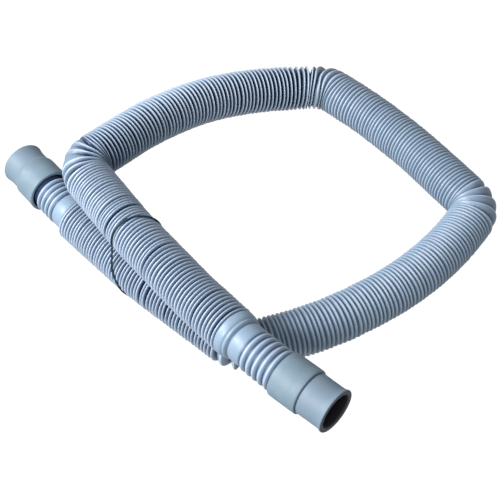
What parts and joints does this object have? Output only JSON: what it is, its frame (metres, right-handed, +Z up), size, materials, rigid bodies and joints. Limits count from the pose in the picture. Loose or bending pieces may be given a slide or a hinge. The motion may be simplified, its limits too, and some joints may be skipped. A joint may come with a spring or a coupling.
{
  "type": "washing machine drain hose",
  "caption": "Extendable bellows drain hose for a washing machine, pushed together and laid in a loop, with a soft stepped cuff on each end.",
  "frame": {"origin": "on the floor, under the middle of the laid loop's bounding box", "axes": "+Z up, +X along the drain end cuff towards its mouth, which is the loop's long direction"},
  "size_m": [0.3094, 0.2644, 0.0672],
  "materials": {
    "hose_plastic": "satin, blue-grey",
    "cuff_rubber": "matte, grey with a green cast",
    "tie_vinyl": "matte, dark teal"
  },
  "bodies": {
    "root": {"drain_hose": "hose_plastic", "machine_end_cuff": "cuff_rubber", "drain_end_cuff": "cuff_rubber", "tie_band": "tie_vinyl"}
  },
  "joints": []
}
